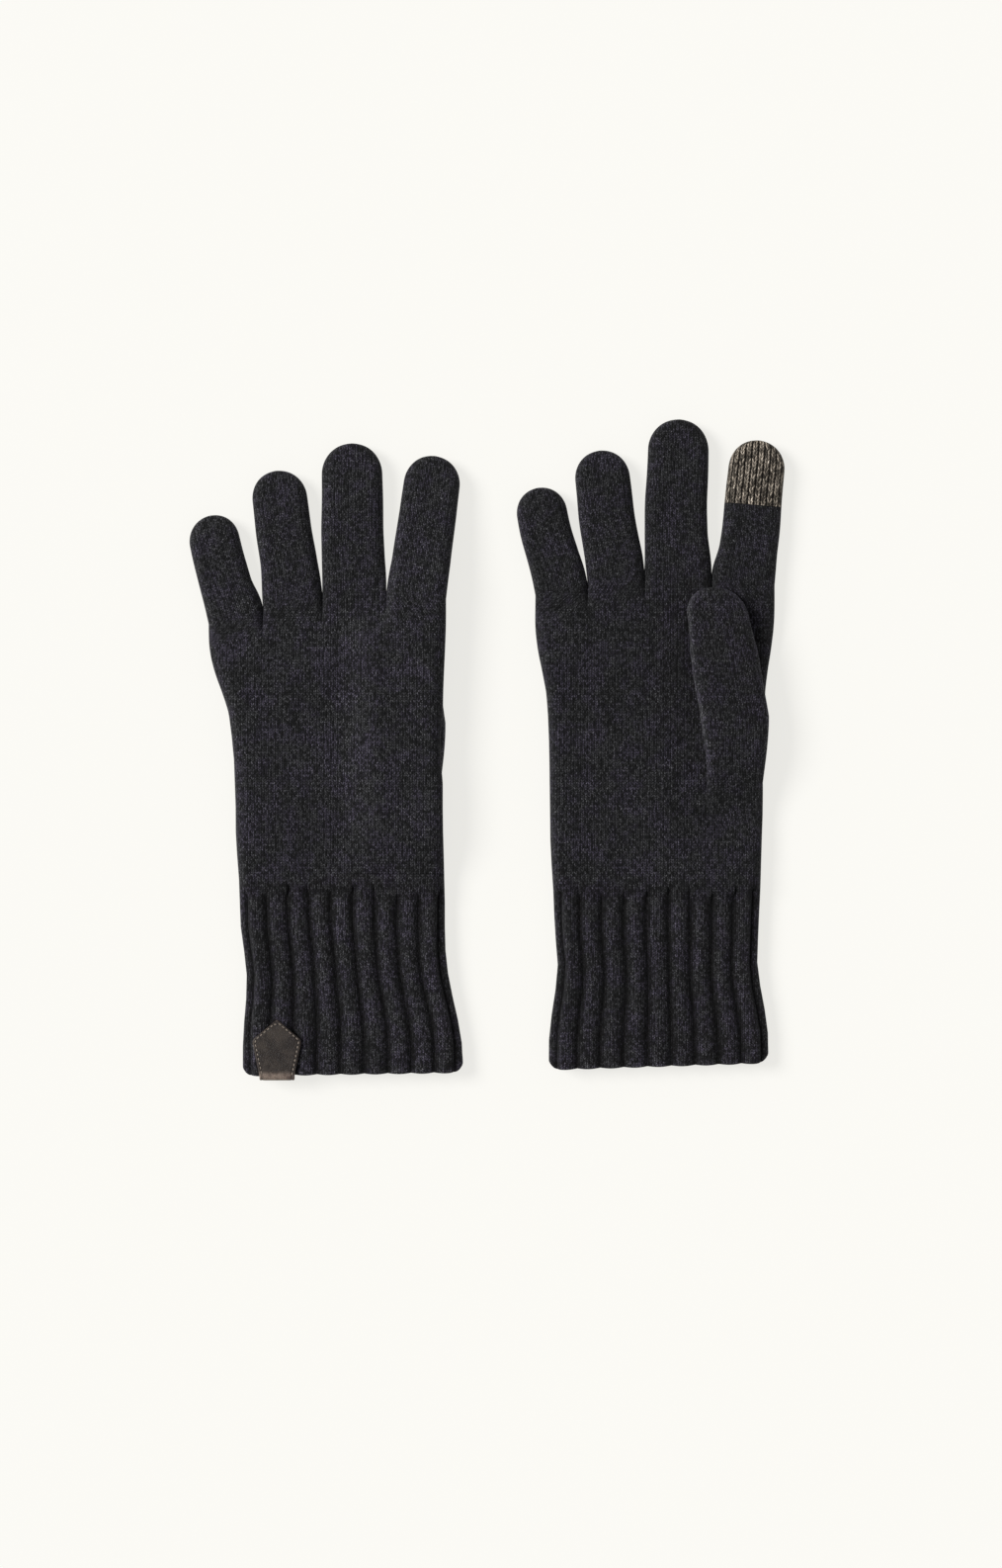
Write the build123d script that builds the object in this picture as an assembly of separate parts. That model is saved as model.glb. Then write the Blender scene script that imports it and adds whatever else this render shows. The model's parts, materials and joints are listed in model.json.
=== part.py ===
from build123d import *
import math
import os

# A pair of knitted touchscreen gloves lying flat side by side, fingers along +Y, palms and
# backs facing +Z or -Z. The left glove lies back up with its thumb folded beneath the palm.
# The right glove lies palm up with its thumb folded over the palm. All sizes are in mm.

WALL = 1.5                 # one layer of knit, with its loft
CLEAR = 0.35               # running gap between soft pieces of different bodies
CUFF_THICK = 10.5          # flattened cuff, both layers and the air between
PALM_THICK = 11.5          # flattened hand at the middle of the palm
FINGER_THICK = 9.5         # flattened finger
THUMB_THICK = 8.5          # flattened thumb
PRESSED_THICK = 8.5        # the hand where the thumb lies over or under it
LIP_TURN = 40              # how far a root's wall curls round its hinge, degrees
FLAT_STEPS = 12            # spans that follow the surface across a flattened tube

MOUTH_WIDTH = 93           # cuff at the hem
WAIST_WIDTH = 84.5         # cuff at its narrowest
WRIST_WIDTH = 87           # where the cuff meets the hand
HEM_LENGTH = 3.5

FINGER_WIDTH = {"little": 21.4, "ring": 23.4, "middle": 26.0, "index": 24.0}
FINGER_LENGTH = {"little": 38.0, "ring": 47.5, "middle": 56.0, "index": 54.0}
FINGERS = list(FINGER_WIDTH)
TIP_TAPER = 0.94           # finger width at the tip over its width at the root
TOUCH_LENGTH = 28          # conductive knit on the index finger's palm side

THUMB_WIDTH = 26
THUMB_LEAN = 9             # toward the little finger
THUMB_BASE_Y = 110
THUMB_TIP_Y = 203.7
THUMB_TIP_INSET = 23.2     # thumb tip to the folding edge
GUSSET_LENGTH = 34         # opening between the hand and the thumb

TAB_THICK = 1.2
STITCH_PITCH = 1.9
STITCH_LENGTH = 1.3


class Lay:
    """How one glove lies: its axis, its hem and the lean of each finger (+ to the left)."""

    def __init__(self, side, axis_x, hem_y, hem_shift, wrist_y, edge_x, palm, tips, leans, index_drop):
        self.side = side
        self.axis_x = axis_x
        self.hem_y = hem_y
        self.hem_shift = hem_shift
        self.wrist_y = wrist_y
        self.edge_x = edge_x            # the line the thumb folds about
        self.palm = palm                # (y, little-finger edge, index edge) up the hand
        self.tips = dict(zip(FINGERS, tips))
        self.leans = dict(zip(FINGERS, leans))
        self.index_drop = index_drop
        self.thumb_below = side == "left"

    def root(self, finger):
        """Point on the finger's axis where it folds, in plan."""
        lean = math.radians(self.leans[finger])
        tip_x, tip_y = self.tips[finger]
        length = FINGER_LENGTH[finger]
        return tip_x + length * math.sin(lean), tip_y - length * math.cos(lean)

    def root_height(self, finger):
        """Height of the finger's fold line. The left index starts on top of the thumb."""
        return FINGER_THICK / 2 + (self.index_drop if finger == "index" else 0)


LEFT = Lay("left", -62.5, 0, 5.0, 79, 44.2,
           [(79, -42.6, 43.6), (105, -44.6, 43.0), (140, -45.4, 43.0), (170, -49.0, 43.2),
            (190, -54.5, 43.6), (222, -62.0, 46.0)],
           [(-55.3, 237), (-26.7, 256), (5.3, 267.5), (39.3, 263)], [13, 7, 0, -7], 8.8)
RIGHT = Lay("right", 71, 2.5, 0.9, 76, 47.2,
            [(76, -43.4, 43.8), (102, -45.0, 44.6), (140, -45.4, 46.0), (170, -46.6, 46.0),
             (190, -50.4, 48.4), (228, -60.0, 54.0)],
            [(-48.7, 246.5), (-22.7, 262.1), (10.9, 275.1), (42.8, 266.3)], [11, 6, -2.5, -5], 0)


def smooth(value, start, end):
    """0 before start, 1 after end, with a soft rise between."""
    t = min(max((value - start) / (end - start), 0), 1)
    return t ** 3 * (10 - 15 * t + 6 * t * t)


def ring_face(y, left, right, low, high, inset=0.0):
    """Filled outline of a flattened tube at y, round at both edges, between two height functions."""
    left, right = left + inset, right - inset
    bottom_l, top_l = low(left) + inset, high(left) - inset
    bottom_r, top_r = low(right) + inset, high(right) - inset
    radius_l, radius_r = (top_l - bottom_l) / 2, (top_r - bottom_r) / 2
    span = right - radius_r - left - radius_l
    inner_xs = [left + radius_l + span * (i + 1) / FLAT_STEPS for i in range(FLAT_STEPS - 1)]
    a = (left + radius_l, y, bottom_l)
    b = (left + radius_l, y, top_l)
    c = (right - radius_r, y, top_r)
    d = (right - radius_r, y, bottom_r)
    flat = [(1, 0, 0), (1, 0, 0)]
    back = [(-1, 0, 0), (-1, 0, 0)]
    top = Spline(b, *[(x, y, high(x) - inset) for x in inner_xs], c, tangents=flat)
    bottom = Spline(d, *[(x, y, low(x) + inset) for x in reversed(inner_xs)], a, tangents=back)
    edge_l = ThreePointArc(a, (left, y, (bottom_l + top_l) / 2), b)
    edge_r = ThreePointArc(c, (right, y, (bottom_r + top_r) / 2), d)
    return make_face(Wire([edge_l, top, edge_r, bottom]))


def root_lips(outer, inner, origin, across, turn=LIP_TURN):
    """Curl the wall of a tube's root round its fold line, from above and from below."""
    ring = outer - inner
    axis = Axis(origin, across)
    up = Plane(origin=origin, x_dir=across, z_dir=(0, 0, 1))
    top, bottom = ring.split(up, keep=Keep.TOP), ring.split(up, keep=Keep.BOTTOM)
    return revolve(top, axis, turn), revolve(bottom, axis, -turn)


# ------------------------------------------------------------------ cuffs
def cuff_tube(lay, start, end):
    """Hollow ribbed tube of the cuff between two heights above the hem."""
    def face(t, inset):
        y = start + (end - start) * t
        share = y / lay.wrist_y
        waist = smooth(share, 0, 0.55)
        flare = smooth(share, 0.65, 1)
        width = MOUTH_WIDTH + (WAIST_WIDTH - MOUTH_WIDTH) * waist + (WRIST_WIDTH - WAIST_WIDTH) * flare
        middle = lay.hem_shift * (1 - share)
        return ring_face(y, middle - width / 2, middle + width / 2,
                         lambda x: 0, lambda x: CUFF_THICK, inset)
    steps = [0, 1] if end - start < 10 else [0, 0.25, 0.5, 0.75, 1]
    outer = loft([face(t, 0) for t in steps])
    return outer - loft([face(t, WALL) for t in steps])


# ------------------------------------------------------------------ hands
def palm_heights(lay, y):
    """Lower and upper surface of the hand across one row, shaped round the folded thumb."""
    last_y = lay.root("middle")[1]
    rise = smooth(y, lay.wrist_y, lay.wrist_y + 35)
    fall = smooth(y, last_y - 45, last_y)
    full = CUFF_THICK + (PALM_THICK - CUFF_THICK) * rise + (FINGER_THICK - PALM_THICK) * fall
    along = smooth(y, THUMB_BASE_Y - 28, THUMB_BASE_Y - 4)
    if not lay.thumb_below:
        along *= 1 - smooth(y, THUMB_TIP_Y - 8, THUMB_TIP_Y + 10)
    thumb_side = lay.edge_x - THUMB_WIDTH - 18

    def share(x):
        return along * smooth(x, thumb_side - 14, thumb_side + 8)

    if lay.thumb_below:
        lifted = THUMB_THICK + CLEAR
        return (lambda x: lifted * share(x),
                lambda x: full + (lifted + PRESSED_THICK - full) * share(x))
    return (lambda x: 0), (lambda x: full + (PRESSED_THICK - full) * share(x))


def palm_edges(lay, y):
    """Little-finger edge and index edge of the hand at y, eased between the listed rows."""
    rows = lay.palm
    for (y0, l0, r0), (y1, l1, r1) in zip(rows, rows[1:]):
        if y <= y1:
            t = (y - y0) / (y1 - y0)
            return l0 + (l1 - l0) * t, r0 + (r1 - r0) * t
    return rows[-1][1:]


def hand(lay):
    """The knitted hand: a flattened tube, open at the wrist and at four finger roots."""
    rows = [lay.wrist_y, 84, 91, 98, 105, 113, 125, 142, 160, 178, 192, 205, lay.palm[-1][0]]

    def face(y, inset):
        left, right = palm_edges(lay, y)
        low, high = palm_heights(lay, y)
        return ring_face(y, left, right, low, high, inset)

    outer = loft([face(y, 0) for y in rows])
    inner = loft([face(y, WALL) for y in rows])
    gusset = Box(20, GUSSET_LENGTH, PRESSED_THICK - 2 * WALL - 0.6)
    gusset_z = PRESSED_THICK / 2 + (THUMB_THICK + CLEAR if lay.thumb_below else 0)
    gusset = Pos(lay.edge_x, THUMB_BASE_Y + 8 + GUSSET_LENGTH / 2, gusset_z) * gusset

    beyond = []
    for finger in FINGERS:
        x, y = lay.root(finger)
        reach = 60
        slab = Box(FINGER_WIDTH[finger] + 9, reach, 60)
        beyond.append(Pos(x, y) * Rot(0, 0, lay.leans[finger])
                      * Pos(0, reach / 2 - FINGER_THICK / 2 - CLEAR - 0.05) * slab)
    for cut in beyond:
        outer = outer - cut
    tube = outer - inner - gusset

    webs = []
    for one, other in zip(FINGERS, FINGERS[1:]):
        x1, y1 = lay.root(one)
        x2, y2 = lay.root(other)
        web_x = (x1 + FINGER_WIDTH[one] / 2 + x2 - FINGER_WIDTH[other] / 2) / 2
        web_y = min(y1, y2) - FINGER_THICK / 2 - 6
        webs.append((Pos(web_x, web_y, 10) * Box(2.4, 9, 40)) & outer)
    lips = root_lips(face(lay.wrist_y, 0), face(lay.wrist_y, WALL), (0, lay.wrist_y, CUFF_THICK / 2), (1, 0, 0))
    for piece in [*webs, *lips]:
        tube = tube + piece
    return tube


# ------------------------------------------------------------------ fingers and thumb
def tube_outline(width, length, start=0.0):
    """Plan of a flattened finger: straight, slightly tapered sides and a round tip."""
    half, tip = width / 2, width * TIP_TAPER / 2
    side_end = length - tip * 0.92
    outline = Polyline((-tip, side_end), (-half, start), (half, start), (tip, side_end))
    crown = EllipticalCenterArc((0, side_end), tip, tip * 0.92, start_angle=0, arc_size=180)
    return make_face(Wire([*outline.edges(), crown]))


def flattened(plan, thick, open_edge_y=None):
    """Plan shape given a thickness, with its edges rounded all round except along an open end."""
    block = extrude(plan, thick / 2, both=True)
    rim = [e for e in block.edges() if abs(abs(e.center().Z) - thick / 2) < 1e-3]
    if open_edge_y is not None:
        rim = [e for e in rim if abs(e.center().Y - open_edge_y) > 1e-3]
    return fillet(rim, thick / 2 - 0.02)


def finger_tube(finger):
    """Hollow finger along +Y from its fold line, with the root's wall curled round the fold."""
    width, length = FINGER_WIDTH[finger], FINGER_LENGTH[finger]
    outer = flattened(tube_outline(width, length), FINGER_THICK, 0)
    inner = flattened(tube_outline(width - 2 * WALL, length - WALL), FINGER_THICK - 2 * WALL, 0)
    tube = outer - inner
    root_outer = outer.faces().sort_by(Axis.Y)[0]
    root_inner = inner.faces().sort_by(Axis.Y)[0]
    for lip in root_lips(root_outer, root_inner, (0, 0, 0), (1, 0, 0)):
        tube = tube + lip
    return tube


def place_finger(lay, finger, shape):
    """Put a finger on its root, leaning in plan and drooping to the table."""
    x, y = lay.root(finger)
    height = lay.root_height(finger)
    droop = math.degrees(math.asin((height - FINGER_THICK / 2) / (FINGER_LENGTH[finger] - FINGER_THICK / 2)))
    return Pos(x, y, height) * Rot(0, 0, lay.leans[finger]) * Rot(-droop, 0, 0) * shape


def index_pieces(lay):
    """Index finger and the conductive knit that makes up the palm side of its tip."""
    tube = finger_tube("index")
    palm_sign = -1 if lay.thumb_below else 1
    zone = Box(60, 60, 20)
    zone = Pos(0, FINGER_LENGTH["index"] - TOUCH_LENGTH + 30, palm_sign * 10) * zone
    return place_finger(lay, "index", tube - zone), place_finger(lay, "index", tube & zone)


def thumb(lay):
    """Hollow thumb folded over or under the palm, open along the edge it folds about."""
    lean = math.radians(THUMB_LEAN)
    length = (THUMB_TIP_Y - THUMB_BASE_Y) / math.cos(lean)

    def block(inset):
        width = THUMB_WIDTH - 2 * inset
        plan = tube_outline(width, length - inset, inset)
        corner = plan.vertices().group_by(Axis.Y)[0].sort_by(Axis.X)[0]
        plan = fillet(corner, THUMB_WIDTH * 0.45 - inset)
        turned = Pos(lay.edge_x - THUMB_TIP_INSET, THUMB_TIP_Y) * Rot(0, 0, THUMB_LEAN) * Pos(0, -length) * plan
        return flattened(turned, THUMB_THICK - 2 * inset)

    height = THUMB_THICK / 2 if lay.thumb_below else PRESSED_THICK + CLEAR + THUMB_THICK / 2
    beyond_edge = Pos(lay.edge_x - 0.3 + 20, THUMB_BASE_Y) * Box(40, 400, 40)
    return Pos(0, 0, height) * (block(0) - block(WALL) - beyond_edge)


# ------------------------------------------------------------------ leather tab
def tab_points(lay):
    """Corners of the tab's leaf from its point round to the fold, in plan."""
    centre = lay.hem_shift - MOUTH_WIDTH / 2 + 15.0
    return [(centre - 0.4, 23.2), (centre - 10.7, 13.6), (centre - 7.6, 0), (centre + 6.9, 0),
            (centre + 9.6, 13.4)]


def leather_tab(lay):
    """Leather folded over the hem: an outer leaf, the fold and an inner leaf."""
    points = tab_points(lay)
    leaf = make_face(Polyline(*points, close=True))
    corners = leaf.vertices().filter_by(lambda v: v.Y > 3)
    leaf = fillet(corners, 1.2)
    fold_inner = (WALL + 0.02) / 2
    fold_outer = fold_inner + TAB_THICK
    mid_z = CUFF_THICK - WALL / 2
    outer_leaf = Pos(0, 0, mid_z + fold_inner) * extrude(leaf, TAB_THICK)
    inner_leaf = Pos(0, 0, mid_z - fold_outer) * extrude(leaf, TAB_THICK)
    left, right = points[2][0], points[3][0]
    roll = Rot(0, 90, 0) * (Cylinder(fold_outer, right - left) - Cylinder(fold_inner, right - left))
    roll = Pos((left + right) / 2, 0, mid_z) * roll
    roll = roll & (Pos((left + right) / 2, -10, mid_z) * Box(60, 20, 20))
    return outer_leaf + inner_leaf + roll


def tab_stitches(lay):
    """Short thread stitches lying on the outer leaf, just inside its edge."""
    points = [Vector(x, y) for x, y in tab_points(lay)]
    middle = Vector(sum(p.X for p in points) / len(points), sum(p.Y for p in points) / len(points))
    path = [middle + (p - middle) * 0.87 for p in [*points[3:], *points[:3]]]
    top = CUFF_THICK + 0.01 + TAB_THICK
    stitches = []
    for a, b in zip(path, path[1:]):
        side = b - a
        count = int(side.length / STITCH_PITCH)
        turn = math.degrees(math.atan2(side.Y, side.X))
        for i in range(count):
            at = a + side * ((i + 0.5) / count)
            thread = fillet(Box(STITCH_LENGTH, 0.5, 0.4).edges().filter_by(Axis.X).group_by(Axis.Z)[-1], 0.2)
            stitches.append(Pos(at.X, at.Y, top + 0.2) * Rot(0, 0, turn) * thread)
    return Compound(children=stitches)


# ------------------------------------------------------------------ the pair
def glove(lay):
    """Every piece of one glove, by name, in the pair's plan."""
    cuff_end = lay.wrist_y - CUFF_THICK / 2 - CLEAR - 0.05
    pieces = {"cuff_hem": cuff_tube(lay, 0, HEM_LENGTH),
              "cuff": cuff_tube(lay, HEM_LENGTH, cuff_end),
              "hand": hand(lay),
              "thumb": thumb(lay)}
    for finger in FINGERS[:-1]:
        pieces[f"{finger}_finger"] = place_finger(lay, finger, finger_tube(finger))
    pieces["index_finger"], pieces["index_touch_tip"] = index_pieces(lay)
    if lay.side == "left":
        pieces["leather_tab"] = leather_tab(lay)
        pieces["tab_stitches"] = tab_stitches(lay)
    return {f"{lay.side}_{name}": Pos(lay.axis_x, lay.hem_y) * shape for name, shape in pieces.items()}


def main():
    parts = glove(LEFT) | glove(RIGHT)
    box = Compound(children=[Compound(part.wrapped) for part in parts.values()]).bounding_box()
    shift = Pos(-box.center().X, -box.center().Y, -box.min.Z)
    os.makedirs("parts", exist_ok=True)
    for name, part in parts.items():
        moved = shift * part
        export_step(moved, f"parts/{name}.step")
        print(f"{name:24s} solids {len(moved.solids())}  volume {moved.volume:9.1f}  valid {moved.is_valid}")
    print("size", box.size, "shift", shift.position)


main()
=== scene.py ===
import json
import math
from typing import NamedTuple

import bpy
import numpy as np
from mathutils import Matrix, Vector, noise


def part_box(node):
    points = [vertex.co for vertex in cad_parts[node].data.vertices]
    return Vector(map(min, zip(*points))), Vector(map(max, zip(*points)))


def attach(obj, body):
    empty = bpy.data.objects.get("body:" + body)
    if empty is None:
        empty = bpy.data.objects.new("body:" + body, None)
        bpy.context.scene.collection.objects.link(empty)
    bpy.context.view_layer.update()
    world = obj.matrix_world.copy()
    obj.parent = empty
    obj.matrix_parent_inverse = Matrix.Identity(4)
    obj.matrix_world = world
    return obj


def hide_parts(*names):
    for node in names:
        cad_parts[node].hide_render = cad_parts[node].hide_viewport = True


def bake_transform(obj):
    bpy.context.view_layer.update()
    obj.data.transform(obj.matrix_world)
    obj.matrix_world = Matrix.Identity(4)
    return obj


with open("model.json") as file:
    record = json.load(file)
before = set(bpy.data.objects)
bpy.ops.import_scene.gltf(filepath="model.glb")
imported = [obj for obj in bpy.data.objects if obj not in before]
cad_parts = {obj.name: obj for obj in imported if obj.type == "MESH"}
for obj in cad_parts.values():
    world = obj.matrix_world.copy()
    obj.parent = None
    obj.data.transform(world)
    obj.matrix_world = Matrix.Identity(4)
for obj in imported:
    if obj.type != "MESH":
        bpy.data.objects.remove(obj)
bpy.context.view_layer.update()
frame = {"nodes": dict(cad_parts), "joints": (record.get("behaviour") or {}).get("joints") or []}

MM = 0.001
FINGERS = ("little", "ring", "middle", "index")
WALE = 1.46 * MM            # width of one stitch column in the fine jersey
COURSE = 1.08 * MM          # height of one stitch row in the fine jersey
TOUCH_WALE = 2.65 * MM      # the coarser conductive knit
TOUCH_COURSE = 1.6 * MM
LEG_RISE = 1.5              # rows that one leg of a V climbs across a whole column, fine jersey
TOUCH_RISE = 2.8
LEG_GATHER = 1.12           # how far the legs draw together, leaving a gap between columns
TOUCH_GATHER = 1.22
GRAIN = 0.62                # how strongly the yarn's lightness varies from stitch to stitch
STEP = 0.62 * MM            # mesh spacing on the hand and fingers
TOUCH_STEP = 0.3 * MM       # mesh spacing on the conductive knit
TOUCH_SPAN = 30 * MM        # about the length of the index tip's half outline
RIBS = 10                   # raised ribs on each face of a cuff
RIB_DEPTH = 2.0 * MM
CUFF_COLUMNS = 240          # mesh spans across one face of a cuff
CUFF_STEP = 0.55 * MM       # between rows of a cuff's outer wall
LINING_STEP = 1.6 * MM      # between rows of its inner wall
LINING_DEPTH = 1.9 * MM     # from the outer wall to the inner wall
LINING_STOP = 8 * MM        # the inner wall ends this far below the wrist's fold
HEM_SLANT = {"left": 1.5 * MM, "right": 3.1 * MM}     # how much higher the hem lies at the index edge
# how far each finger stands toward the index side of its plain solid, past the first 30 mm
SPLAY = {"left": {"little": -0.9 * MM, "ring": -1.0 * MM, "middle": -0.7 * MM, "index": 0.5 * MM},
         "right": {"little": -1.9 * MM, "ring": -1.5 * MM, "middle": -1.2 * MM, "index": 0.5 * MM}}
ROOT_SETBACK = 6.5 * MM     # finger pieces start this far below the fold line
WRIST_REACH = 6.5 * MM      # the cuff piece runs this far past the wrist's fold, and bends from before it
FULLER = 0.60 * MM          # each side of a finger or thumb stands this far outside its plain solid
LAYER_GAP = 0.35 * MM       # between the folded thumb and the hand
CROWN = 0.95                # length of a rounded tip over its half width
THUMB_LEAN = 9              # degrees toward the little finger
GUSSET_RUN = 16 * MM        # the thumb's gusset starts this far below the thumb
GUSSET_INSET = 3.4 * MM     # and lies this far in from the fold
STITCH_INSET = 1.15 * MM    # the tab's thread line, in from its edge
STITCH_PITCH = 1.9 * MM
STITCH_LENGTH = 1.3 * MM
STITCH_GIRTH = 0.26 * MM    # radius of the thread at the middle of a stitch
POINT_SLOPE = 0.62          # a step down from the tab's point, as a step in from its slanting edges

joints = {joint["name"]: joint for joint in frame["joints"]}
FINGER_HALF = (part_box("right_middle_finger")[1][2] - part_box("right_middle_finger")[0][2]) / 2


# ------------------------------------------------------------------ frame helpers
def node_points(name):
    """Vertices of one CAD node, in metres."""
    mesh = frame["nodes"][name].data
    points = np.empty(len(mesh.vertices) * 3)
    mesh.vertices.foreach_get("co", points)
    return points.reshape(-1, 3)


def ease(value, start, end):
    """0 before start, 1 after end, with a soft rise between."""
    t = np.clip((value - start) / (end - start), 0, 1)
    return t * t * (3 - 2 * t)


def wobble(x, y, z, scale, seed):
    """Smooth noise between about -1 and 1."""
    return noise.noise((x / scale + seed * 17.3, y / scale, z / scale + seed * 5.1))


def half_ring(half_width, half_thick, count):
    """Evenly spaced half outline of a flattened tube: across, height 0..1 and length from the middle."""
    thick = min(half_thick, half_width * 0.9)
    flat = half_width - thick
    arc = math.pi / 2 * thick
    total = 2 * (flat + arc)
    along = np.linspace(0, total, count + 1)
    left_turn = np.clip(along / arc, 0, 1) * math.pi / 2
    right_turn = np.clip((total - along) / arc, 0, 1) * math.pi / 2
    middle = np.clip(along - arc, 0, 2 * flat) - flat
    across = middle - thick * np.cos(left_turn) + thick * np.cos(right_turn)
    height = np.minimum(np.sin(left_turn), np.sin(right_turn))
    return across, height, along - total / 2


def round_tip(run, total, crown):
    """A row's place along a tube with a rounded tip, and its share of the tube's full width."""
    straight = total - crown
    if run <= straight:
        return run, 1.0
    angle = (run - straight) / crown * math.pi / 2
    return straight + crown * math.sin(angle), max(math.cos(angle), 0.02)


# ------------------------------------------------------------------ mesh building
def add_mesh(name, vertices, faces, loops_uv, material, tone=None):
    """Smooth-shaded object from arrays, with a knit map and a tone at each point, which paints shade and
    highlight on the cloth.

    Nothing sinks into the table at z = 0.
    """
    mesh = bpy.data.meshes.new(name)
    mesh.from_pydata([(x, y, max(z, 0.0)) for x, y, z in vertices], [], [tuple(f) for f in faces])
    layer = mesh.uv_layers.new(name="Knit")
    layer.data.foreach_set("uv", np.asarray(loops_uv, dtype=np.float32).ravel())
    # The tone attribute carries painted shade and painted highlight; 1 leaves the colour as it is.
    attribute = mesh.attributes.new("tone", "FLOAT", "POINT")
    tone = np.ones(len(vertices)) if tone is None else tone
    attribute.data.foreach_set("value", np.asarray(tone, dtype=np.float32))
    mesh.polygons.foreach_set("use_smooth", [True] * len(mesh.polygons))
    mesh.update()
    obj = bpy.data.objects.new(name, mesh)
    bpy.context.scene.collection.objects.link(obj)
    obj.data.materials.append(material)
    return obj


def tube(name, top, bottom, uv, material, tone=None, flip=False):
    """Flattened tube from two sheets of rows that share their first and last columns.

    top and bottom are [row, column, xyz] and run the same way, with one knit map and one tone, painted shade
    and highlight, for both.
    """
    rows, columns = top.shape[:2]
    inside = bottom[:, 1:-1]
    vertices = np.concatenate([top.reshape(-1, 3), inside.reshape(-1, 3)])
    top_index = np.arange(rows * columns).reshape(rows, columns)
    bottom_index = np.empty((rows, columns), dtype=int)
    bottom_index[:, 0] = top_index[:, 0]
    bottom_index[:, -1] = top_index[:, -1]
    bottom_index[:, 1:-1] = rows * columns + np.arange(rows * (columns - 2)).reshape(rows, columns - 2)
    faces, maps = [], []
    for index, turn in ((top_index, flip), (bottom_index, not flip)):
        corners = [(0, 0), (0, 1), (1, 1), (1, 0)]
        if turn:
            corners.reverse()
        pick = [(slice(r, rows - 1 + r), slice(c, columns - 1 + c)) for r, c in corners]
        faces.append(np.stack([index[p] for p in pick], axis=-1).reshape(-1, 4))
        maps.append(np.stack([uv[p] for p in pick], axis=-2).reshape(-1, 2))
    if tone is not None:
        tone = np.concatenate([tone.ravel(), tone[:, 1:-1].ravel()])
    return add_mesh(name, vertices, np.concatenate(faces), np.concatenate(maps), material, tone)


# ------------------------------------------------------------------ shader helpers
class Graph:
    """Thin helper for wiring one material's nodes."""

    def __init__(self, name):
        self.material = bpy.data.materials.new(name)
        self.material.use_nodes = True
        self.nodes = self.material.node_tree.nodes
        self.links = self.material.node_tree.links
        self.shader = self.nodes["Principled BSDF"]

    def wire(self, source, socket):
        """Set a socket to a number or colour, or link an output to it."""
        if isinstance(source, (int, float, tuple)):
            socket.default_value = source
        else:
            self.links.new(source, socket)

    def math(self, operation, a, b=0.0, c=0.0):
        node = self.nodes.new("ShaderNodeMath")
        node.operation = operation
        for value, socket in zip((a, b, c), node.inputs):
            self.wire(value, socket)
        return node.outputs[0]

    def remap(self, value, low, high, to_low=0.0, to_high=1.0):
        node = self.nodes.new("ShaderNodeMapRange")
        node.interpolation_type = "SMOOTHSTEP"
        for source, socket in zip((value, low, high, to_low, to_high), node.inputs):
            self.wire(source, socket)
        return node.outputs[0]

    def mix(self, share, a, b, blend_type="MIX"):
        node = self.nodes.new("ShaderNodeMix")
        node.data_type = "RGBA"
        node.blend_type = blend_type
        self.wire(share, node.inputs[0])
        self.wire(a, node.inputs[6])
        self.wire(b, node.inputs[7])
        return node.outputs[2]

    def noise(self, vector, scale, detail=2.0, roughness=0.5):
        node = self.nodes.new("ShaderNodeTexNoise")
        self.links.new(vector, node.inputs["Vector"])
        node.inputs["Scale"].default_value = scale
        node.inputs["Detail"].default_value = detail
        node.inputs["Roughness"].default_value = roughness
        return node.outputs["Fac"]

    def random(self, x, y):
        """A number between 0 and 1 for each pair of whole numbers."""
        join = self.nodes.new("ShaderNodeCombineXYZ")
        self.wire(x, join.inputs[0])
        self.wire(y, join.inputs[1])
        node = self.nodes.new("ShaderNodeTexWhiteNoise")
        node.noise_dimensions = "2D"
        self.links.new(join.outputs[0], node.inputs["Vector"])
        return node.outputs["Value"]

    def object_point(self):
        return self.nodes.new("ShaderNodeTexCoord").outputs["Object"]

    def knit_uv(self):
        """Distance across and up the knit, in metres."""
        node = self.nodes.new("ShaderNodeUVMap")
        node.uv_map = "Knit"
        split = self.nodes.new("ShaderNodeSeparateXYZ")
        self.links.new(node.outputs[0], split.inputs[0])
        return split.outputs[0], split.outputs[1]

    def paint_light_and_shade(self, colour):
        """Base colour, darkened as painted shade or lightened as painted highlight by the mesh's own tone."""
        tone = self.nodes.new("ShaderNodeAttribute")
        tone.attribute_name = "tone"
        self.links.new(self.dim(colour, tone.outputs["Fac"]), self.shader.inputs["Base Color"])

    def dim(self, colour, factor):
        """Colour times a grey factor, which may be over 1."""
        grey = self.nodes.new("ShaderNodeCombineColor")
        for socket in grey.inputs:
            self.wire(factor, socket)
        return self.mix(1.0, colour, grey.outputs[0], "MULTIPLY")

    def bump(self, height, distance, strength=1.0):
        node = self.nodes.new("ShaderNodeBump")
        node.inputs["Strength"].default_value = strength
        node.inputs["Distance"].default_value = distance
        self.links.new(height, node.inputs["Height"])
        self.links.new(node.outputs[0], self.shader.inputs["Normal"])


def stitch_height(g, u, v, rise, gather):
    """Relief of V stitches, and each leg's own random number."""
    leg = g.math("ABSOLUTE", g.math("SUBTRACT", g.math("FRACT", u), 0.5))
    climb = g.math("MULTIPLY_ADD", leg, -rise, v)
    strand = g.math("ABSOLUTE", g.math("MULTIPLY_ADD", g.math("FRACT", climb), 2.0, -1.0))
    strand = g.math("SUBTRACT", 1.0, g.math("POWER", strand, 2.0))
    place = g.math("MINIMUM", g.math("MULTIPLY", leg, gather), 0.5)
    across = g.math("ABSOLUTE", g.math("MULTIPLY_ADD", place, 4.0, -1.0))
    across = g.math("SUBTRACT", 1.0, g.math("POWER", across, 2.0))
    height = g.math("SQRT", g.math("MAXIMUM", g.math("MULTIPLY", strand, across), 0.0))
    return height, g.random(g.math("FLOOR", g.math("MULTIPLY", u, 2.0)), g.math("FLOOR", climb))


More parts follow.
